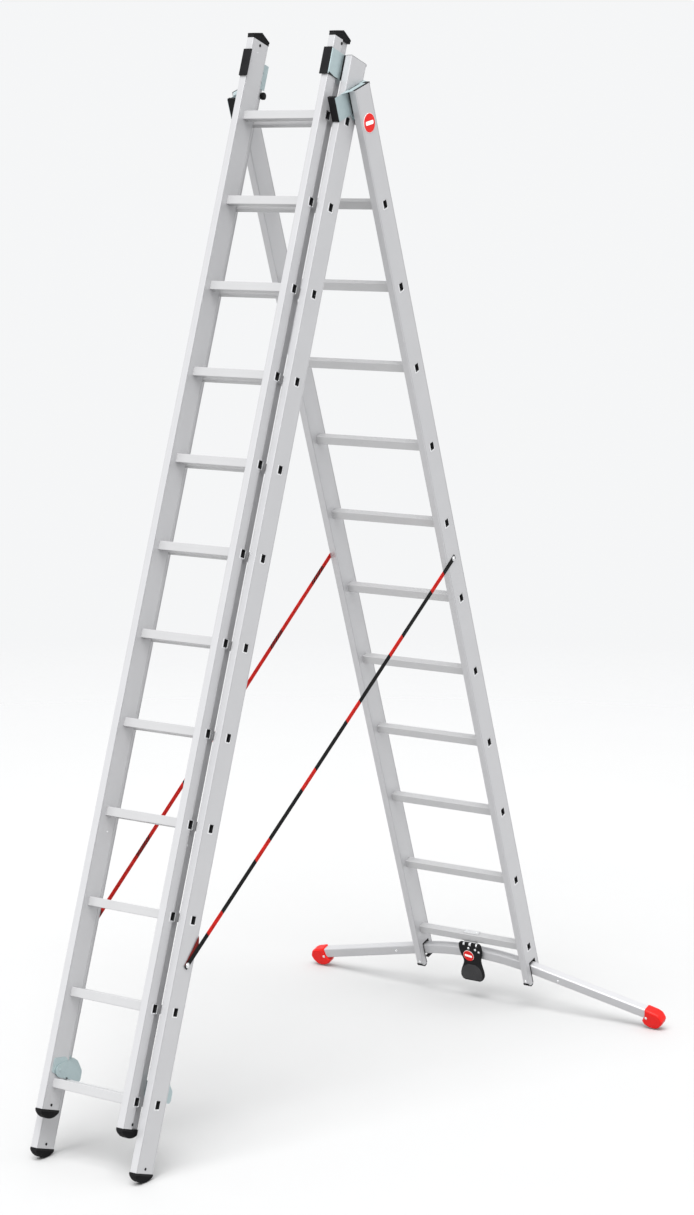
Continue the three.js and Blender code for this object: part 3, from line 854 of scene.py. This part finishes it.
def middle_guide(name, side):
    low, high = local_box(f"middle_guide_{name}", "middle")
    slide = RAIL["top"][1].x
    front = -NEST - HALF - 3.5
    own = RAIL["middle"][0].x - 0.3
    path = guide_path(slide + 2.6, own, front, slide - THICK - 2, HALF + 8)
    outline = [(side * u, v) for u, v in strip(path, GUIDE_SHEET)]
    bm = bmesh.new()
    prism(bm, outline, low.z, high.z)
    face = own - 2.0
    for dep, up in ((30, 55), (30, 22), (-26, 40)):
        dome(bm, (side * (face + 0.1), dep, low.z + up), inwards(side), 4.2, 1.8)
    part(f"middle_{name}_bracket", bm, "middle", BODY["middle"], "zinc_steel", [ZINC],
         [f"middle_guide_{name}"], bevel=0.45, crease=40)

    pad = bmesh.new()
    x0, x1 = span(side, slide - THICK - 6, slide + 1.5)
    outline = fillet(rectangle(x0, x1, -NEST - HALF - 6.6, -NEST - HALF - 1.1), 1.8, 3)
    prism(pad, outline, low.z - 2, high.z + 3)
    # its lower edge runs on under the side plate
    x0, x1 = span(side, slide + 1.7, slide + 4.2)
    trim = [(-NEST - HALF - 2, low.z - 1), (-NEST - HALF - 2, low.z + 6), (-70, low.z + 0.4),
            (-50, low.z + 0.4), (-50, low.z - 1)]
    prism(pad, trim, x0, x1, "across")
    # and a black block fills the gap between the plate and the rail, as painted shade in that gap
    x0, x1 = span(side, slide + 3.8, own - 0.2)
    block(pad, (x0, x1), (-HALF + 3, -HALF + 8), (low.z + 1, high.z - 1))
    part(f"middle_{name}_pad", pad, "middle", BODY["middle"],
         "black_plastic", [BLACK], bevel=1.2, segments=3, crease=40)

    # the round plastic knob under the plate's leg
    knob = bmesh.new()
    x0, x1 = span(side, own, own - 9)
    prism(knob, circle(HALF + 4, HEAD["knob"], 12, 32), x0, x1, "across")
    x0, x1 = span(side, own - 7, own - 11)
    prism(knob, circle(HALF + 4, HEAD["knob"], 8.5, 32), x0, x1, "across")
    part(f"middle_{name}_knob", knob, "middle", BODY["middle"],
         "black_plastic", [BLACK], bevel=1.0, crease=40)


def rear_guide(name, side):
    low, _ = local_box(f"rear_guide_{name}", "rear")
    held = RAIL["middle"][1].x
    own = RAIL["rear"][0].x - 0.3
    base, top = HEAD["guide"], HEAD["guide_top"]
    plate = held + 2.4
    front = low.y + 1.5
    outline = [(side * u, v) for u, v in strip(guide_path(plate, own, front, 0, HALF + 2), GUIDE_SHEET)]
    bm = bmesh.new()
    prism(bm, outline, base, top)
    # the flange over the top of the rail; its slot is drawn below as painted shade
    flange = [(plate - 1, -HALF - 33), (plate + 1, -HALF - 33), (RAIL["rear"][1].x - 8, -HALF - 2),
              (RAIL["rear"][1].x - 8, HALF + 2), (plate + 1, HALF + 17), (plate - 1, HALF + 17)]
    prism(bm, fillet([(side * u, v) for u, v in flange], [0.5, 0.5, 6, 6, 1, 1], 4), top - 0.1, top + 1.9)
    for dep, up in ((30, 60), (30, 24), (-24, 42)):
        dome(bm, (side * (own - 1.9), dep, base + up), inwards(side), 4.2, 1.8)
    # the flange's slot, and a small hole beside it, drawn as thin near-black patches of painted shade
    dark = bmesh.new()
    x0, x1 = span(side, own - 5.5, own - 2)
    block(dark, (x0, x1), (-HALF + 5, HALF - 17), (top + 1.8, top + 2.2))
    prism(dark, circle(side * (plate + 1.5), 8, 2.6, 16), top + 1.8, top + 2.2)
    part(f"rear_{name}_flange_slot_shade", dark, "rear", BODY["rear"], "black_plastic", [HOLLOW_SHADE], crease=40)
    # the ear that carries the hinge stud
    stud = (-NEST / 2, HEAD["stud"])
    at, up = stud
    ear = [(-HALF + 2, base + 2), (-HALF - 8, base + 2), (at - 11, up - 5), (at - 6, up - 11),
           (at + 6, up - 11), (at + 11, up - 4), (at + 11, base + 2)]
    x0, x1 = span(side, plate - 1, plate + 1)
    prism(bm, fillet(ear, [0, 4, 5, 5, 5, 5, 0], 4), x0, x1, "across")
    x0, x1 = span(side, held - 17, plate + 0.5)
    prism(bm, circle(*stud, STUD), x0, x1, "across")
    dome(bm, (side * (plate + 1), *stud), outwards(side), 7.2, 3.4)
    part(f"rear_{name}_bracket", bm, "rear", BODY["rear"], "zinc_steel", [ZINC],
         [f"rear_guide_{name}"], bevel=0.45, crease=40)
    rear_pad(name, side, low, held)


def rear_pad(name, side, low, held):
    """A black pad with a slanted lower end, which lies against the middle section's rail."""
    pad = bmesh.new()
    front, back = low.y, low.y + 12
    base = HEAD["guide"]
    profile = [(front, base + 80), (front, base), (front + 3.2, base), (back, base + 12.5), (back, base + 80)]
    x0, x1 = span(side, held - THICK - 1, held + 1.3)
    prism(pad, fillet(profile, [2, 1, 1, 3, 2], 4), x0, x1, "across")
    # a black block fills the gap between the plate and the rail, as painted shade in that gap
    x0, x1 = span(side, held + 3.6, RAIL["rear"][0].x - 0.5)
    block(pad, (x0, x1), (-HALF + 3, -HALF + 8), (base + 1, base + 75))
    part(f"rear_{name}_pad", pad, "rear", BODY["rear"],
         "black_plastic", [BLACK], bevel=1.2, segments=3, crease=40)


# ---------- levelling bar ----------

BAR_BOX = local_box("levelling_bar", "rear")
BAR = {"crown": -47, "radius": 1100, "arc": 250, "end": 690, "height": 38, "front": -14.5, "back": 17.5}
SLOPE = BAR["arc"] / BAR["radius"]


def bar_edge(x):
    reach = min(abs(x), BAR["arc"])
    return BAR["crown"] - reach ** 2 / (2 * BAR["radius"]) - (abs(x) - reach) * SLOPE


def bar_tilt(x):
    return -math.copysign(min(abs(x), BAR["arc"]) / BAR["radius"], x)


def bar_section(x, grow=0.0):
    """The tube's rounded section at x, square to the bar."""
    tilt = bar_tilt(x)
    lean = math.sqrt(1 + tilt ** 2)
    middle_up = bar_edge(x) - BAR["height"] / 2
    half_up = BAR["height"] / 2 / lean + grow
    outline = fillet(rectangle(BAR["front"] - grow, BAR["back"] + grow, -half_up, half_up), 5 + grow, 4)
    return [(x - v * tilt / lean, u, middle_up + v / lean) for u, v in outline]


def levelling_bar():
    steps = 36
    inner = [-BAR["arc"] + 2 * BAR["arc"] * i / steps for i in range(steps + 1)]
    bm = bmesh.new()
    loft(bm, [bar_section(x) for x in [-BAR["end"], *inner, BAR["end"]]])
    part("levelling_tube", bm, "rear", "levelling_bar", "bar_aluminium", [BAR_METAL],
         ["levelling_bar"], crease=30)
    bright = []
    for _, side in SIDES:
        x = side * 347
        bright.append(((x, BAR["front"] - 0.1, bar_edge(x) - 21), "-y", 4.6, 2.2))
        bright.append(((x, BAR["back"] + 0.1, bar_edge(x) - 21), "y", 4.6, 2.2))
    rivets("levelling_tube_rivets", "rear", STEEL, "zinc_steel", bright, "levelling_bar")
    for name, side in SIDES:
        boot(name, side)


def boot(name, side):
    """The red boot on each end of the bar: a faceted, rounded shell with a rivet in front."""
    base = BAR_BOX[0].z
    inner = BAR["end"] - 10
    top = bar_edge(inner) + 3
    outline = [(inner + 10, top), (inner + 50, bar_edge(inner + 50) + 3), (inner + 65, top - 20),
               (inner + 74, top - 42), (inner + 66, top - 60), (inner + 50, base + 3), (inner + 34, base),
               (inner + 16, base + 2.5),
               (inner - 2, base + 12), (inner - 9, base + 26), (inner + 4, top - 30)]
    shape = fillet([(side * u, v) for u, v in outline], [3, 12, 14, 14, 14, 12, 12, 10, 8, 3, 20], 4)
    middle = Vector((side * (inner + 34), (top + base) / 2))
    rings = []
    depth = BAR_BOX[1].y
    for dep, size in ((-depth, 0.86), (-depth + 2.5, 0.955), (-depth + 6, 1.0), (0, 1.0), (depth - 6, 1.0),
                      (depth - 2.5, 0.955), (depth, 0.86)):
        # the shell shrinks towards its middle at the front and at the back
        ring = []
        for u, v in shape:
            point = middle + (Vector((u, v)) - middle) * size
            ring.append((point.x, dep, point.y))
        rings.append(ring)
    bm = bmesh.new()
    loft(bm, rings)
    # a raised rib round the front
    rib = fillet([(side * (inner + 30), top - 14), (side * (inner + 52), top - 26),
                  (side * (inner + 50), base + 22), (side * (inner + 26), base + 12)], 6, 4)
    prism(bm, rib, -depth - 0.9, -depth + 3, "back")
    part(f"levelling_{name}_boot", bm, "rear", "levelling_bar", "red_plastic", [RED],
         bevel=0.8, segments=3, crease=40)
    rivets(f"levelling_{name}_boot_rivet", "rear", STEEL, "zinc_steel",
           [((side * (inner + 12), -depth - 0.2, top - 34), "-y", 5.0, 2.0)], "levelling_bar")


def fork_lining(name, side):
    """Black guides in the rail's slot, a keeper under the bar, and the rivet in the fork's tip."""
    outer, inner = RAIL["rear"][1].x, RAIL["rear"][0].x
    low = RAIL["rear"][0].z
    wide = (inner - 1.4, outer + 1.4)
    bm = bmesh.new()
    x0, x1 = span(side, wide[0], wide[1])
    front = [(FORK["front"] - 1.2, low + 4), (FORK["front"] + 1.5, low + 2), (FORK["front"] + 1.5, FORK["top"] - 2),
             (FORK["back"] - 1.5, FORK["top"] - 2), (FORK["back"] - 1.5, FORK["rear_strip"] + 3),
             (FORK["back"] + 1.2, FORK["rear_strip"] + 3), (FORK["back"] + 1.2, FORK["top"] + 1.2),
             (FORK["front"] - 1.2, FORK["top"] + 1.2)]
    prism(bm, front, x0, x1, "across")
    tip = [(-HALF - 1.2, low + 12), (-HALF - 1.2, low + 5), (-HALF + 11, low - 5.5), (FORK["front"] - 2, low - 5.5),
           (FORK["front"] + 1.5, low - 1), (FORK["front"] + 1.5, low + 6), (-HALF + 3, low + 13)]
    x2, x3 = span(side, inner + 0.4, outer - 0.4)
    prism(bm, tip, x2, x3, "across")
    x0, x1 = span(side, inner - 12, inner - 1.2)
    keeper = fillet(rectangle(FORK["front"] + 2, FORK["back"] - 2, low + 26, low + 34), 2, 3)
    prism(bm, keeper, x0, x1, "across")
    part(f"rear_{name}_fork_lining", bm, "rear", BODY["rear"], "black_plastic", [BLACK], bevel=0.5, crease=40)
    rivets(f"rear_{name}_fork_rivet", "rear", STEEL, "zinc_steel",
           [((side * (inner + 11), -HALF - 0.1, low + 19), "-y", 5.2, 2.0)])


# ---------- pedal and its clamp ----------

def pedal():
    rows = [  # height, half width, front, back
        (-16, 40, -26, -17), (-18, 44, -28, -17), (-22, 46.5, -29, -17), (-34, 47.5, -30.5, -17),
        (-50, 46.5, -31, -17), (-66, 42.5, -31.5, -17.2), (-80, 37, -32, -17.5), (-90, 35, -33, -18),
        (-99, 36, -35, -19.5), (-110, 40.5, -38.5, -23.5), (-122, 45.5, -42, -27.5), (-134, 48.8, -45, -31),
        (-144, 48.8, -47.2, -34), (-152, 45, -49, -37.5), (-157, 40, -50, -40), (-160, 33, -49.5, -42),
    ]
    rings = []
    for up, half, front, back in rows:
        outline = fillet(rectangle(-half, half, front, back), 4.5, 4)
        rings.append([(u, v, up) for u, v in outline])
    bm = bmesh.new()
    loft(bm, rings)
    part("pedal_body", bm, "rear", "foot_pedal", "black_plastic", [BLACK], ["foot_pedal"], crease=50)

    # the ribbed tread on the pedal's toe
    tread = bmesh.new()
    count = 16
    for i in range(count):
        up = -102 - 51 * i / (count - 1)
        near = min(range(len(rows) - 1), key=lambda k: abs((rows[k][0] + rows[k + 1][0]) / 2 - up))
        (u0, h0, f0, _), (u1, h1, f1, _) = rows[near], rows[near + 1]
        share = (up - u0) / (u1 - u0)
        half, front = h0 + (h1 - h0) * share - 4, f0 + (f1 - f0) * share
        # the upper edge of the tread is an arch
        if i < 6:
            half *= math.sqrt(1 - ((5.5 - i) / 6.6) ** 2)
        prism(tread, fillet(rectangle(-half, half, up - 1.1, up + 1.1), 1.0, 3), front - 1.6, front + 2, "back")
    part("pedal_tread", tread, "rear", "foot_pedal", "black_plastic", [RUBBER], bevel=0.4, crease=40)

    face = -31.2
    badge("pedal_badge", "rear", "foot_pedal", (-9, face - 0.2, -66), 22, "-y")
    spots = [((x, face + 0.8, up), "-y", 4.6, 2.4) for x, up in ((-4, -33), (24, -36), (38, -44))]
    rivets("pedal_rivets", "rear", STEEL, "zinc_steel", spots, "foot_pedal")


def badge(name, label, body, at, radius, axis):
    """A plain round badge: a red disc in a pale ring, with a plain white bar across it."""
    sign = -1 if axis[0] == "-" else 1
    plane = {"x": "across", "y": "back"}[axis[-1]]
    x, dep, up = at
    face = x if axis[-1] == "x" else dep
    u, v = (dep, up) if axis[-1] == "x" else (x, up)
    for layer, (outline, start, end, material, slot) in {
        "ring": (circle(u, v, radius, 48), -1.0, 0.7, WHITE, "white_plastic"),
        "disc": (circle(u, v, radius - 1.0, 48), 0.0, 1.4, RED, "red_plastic"),
        "bar": (bar_outline(u, v, radius), 0.9, 1.9, WHITE, "white_plastic"),
    }.items():
        bm = bmesh.new()
        w0, w1 = sorted((face + sign * start, face + sign * end))
        prism(bm, outline, w0, w1, plane)
        part(f"{name}_{layer}", bm, label, body, slot, [material], bevel=0.25, crease=40)


def bar_outline(u, v, radius):
    long, tall = 0.68 * radius, 0.2 * radius
    tilt = math.radians(-8)
    flat = fillet(rectangle(-long, long, -tall, tall), 0.6 * tall, 3)
    c, s = math.cos(tilt), math.sin(tilt)
    return [(u + a * c - b * s, v + a * s + b * c) for a, b in flat]


def pedal_clamp():
    """The plate that wraps the lowest rear rung from behind, and the bright hooks down to the pedal."""
    bm = bmesh.new()
    path = [(-6, 15.2), (16.0, 15.2), (16.0, -15.6), (-14, -15.6)]
    prism(bm, strip(path, 1.6, 3.5), -30, 30, "across")
    for x in (-18, 18):
        dome(bm, (x, 5, 16.0), "z", 3.2, 1.6)
    part("pedal_clamp_plate", bm, "rear", BODY["rear"], "zinc_steel", [STEEL], bevel=0.4, crease=40)
    hooks = bmesh.new()
    for x, wide in ((-22, 7), (4, 9), (31, 6)):
        hook_path = strip([(-18, -15), (-26, -13.5), (-30.5, -16.5), (-30.5, -22)], 1.4, 2.5)
        prism(hooks, hook_path, x - wide / 2, x + wide / 2, "across")
    part("pedal_hooks", hooks, "rear", "foot_pedal", "zinc_steel", [STEEL], bevel=0.4, crease=40)


# ---------- straps ----------

STRAP_WIDTH = 17
STRAP_THICK = 1.9


def strap_frame(name):
    """The middle line of the CAD strap: its two ends, on the middle and on the rear section."""
    points = [v.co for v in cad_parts[f"spread_strap_{name}"].data.vertices]
    low = sorted(points, key=lambda p: p.z)
    ends = []
    for group in (low[:4], low[-4:]):
        ends.append(sum(group, Vector()) / 4)
    return ends


def strap(name, side):
    start, end = strap_frame(name)
    along = (end - start).normalized()
    outward = (Vector((side, 0, 0)) - along * (side * along.x)).normalized()
    across = along.cross(outward)
    length = (end - start).length
    steps = 60
    half, thick = STRAP_WIDTH / 2 * MM, STRAP_THICK / 2 * MM
    section = fillet(rectangle(-half, half, -thick, thick), 0.8 * thick, 3)
    bm = bmesh.new()
    layer = bm.loops.layers.uv.new("weave")
    rows = []
    for i in range(steps + 1):
        at = start + along * (length * i / steps)
        rows.append([(bm.verts.new(at + across * u + outward * v), u / MM, length * (1 - i / steps) / MM)
                     for u, v in section])

    def face(corners):
        made = bm.faces.new([c[0] for c in corners])
        for loop, (_, u, v) in zip(made.loops, corners):
            loop[layer].uv = (u, v)

    for low, high in zip(rows, rows[1:]):
        for i in range(len(section)):
            j = (i + 1) % len(section)
            face((low[i], low[j], high[j], high[i]))
    face(rows[0])
    face(rows[-1])
    obj = bpy.data.objects.new(f"strap_{name}", mesh_of(bm, f"strap_{name}"))
    bpy.context.scene.collection.objects.link(obj)
    obj.data.materials.append(WEBBING[name])
    obj.data.polygons.foreach_set("use_smooth", [True] * len(obj.data.polygons))
    obj.data.set_sharp_from_angle(angle=math.radians(50))
    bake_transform(obj)
    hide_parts(f"spread_strap_{name}")
    for label, at in (("middle", start + along * 0.011), ("rear", end - along * 0.011)):
        strap_end(name, side, label, at, outward)
    strap_fold(name, side, start, along, outward, across)


def strap_fold(name, side, start, along, outward, across):
    """The webbing's folded tail, a wedge between the strap's lower end and the rail, coloured dark red as painted
    shade on the red webbing.
    """
    wedge = [(2, -7), (26, -12), (66, -19), (104, -27), (98, -18), (84, -3), (6, 3)]
    inverse = SECTION["middle"].inverted()
    bm = bmesh.new()
    rows = []
    for lift in (-2.2, -1.3):
        points = [start + along * (a * MM) + across * (side * c * MM) + outward * (lift * MM) for a, c in wedge]
        rows.append([inverse @ p for p in points])
    loft(bm, rows)
    part(f"strap_{name}_fold", bm, "middle", BODY["middle"], "webbing", [SHADED_FOLD], crease=40)


def strap_end(name, side, label, at, outward):
    """The rivet with its washer that holds an end of the strap."""
    place = SECTION[label].inverted() @ (at + outward * (STRAP_THICK / 2 * MM))
    axis = outwards(side)
    bm = bmesh.new()
    x0, x1 = sorted((place.x - side * 0.3, place.x + side * 0.9))
    prism(bm, circle(place.y, place.z, 8.5, 32), x0, x1, "across")
    dome(bm, (place.x + side * 0.8, place.y, place.z), axis, 5.2, 2.4)
    part(f"strap_{name}_{label}_rivet", bm, label, BODY[label], "zinc_steel", [STEEL], bevel=0.25, crease=40)


# ---------- assembly ----------

add_camera()
add_stage()
for label in SECTION:
    rungs(label)
for name, side in SIDES:
    for label in SECTION:
        rail(label, name, side)
    foot("top", name)
    foot("middle", name)
    end_cap(name)
    rail_plug("middle", name)
    rail_plug("rear", name)
    hook("top", name, side, 0)
    hook("middle", name, side, 7)
    middle_guide(name, side)
    rear_guide(name, side)
    fork_lining(name, side)
    strap(name, side)
foot_rivets()
stop_bolts()
levelling_bar()
pedal()
pedal_clamp()
badge("rail_badge", "rear", BODY["rear"], (RAIL["rear"][1].x, -1, TOP_RUNG - 11), 31, "x")
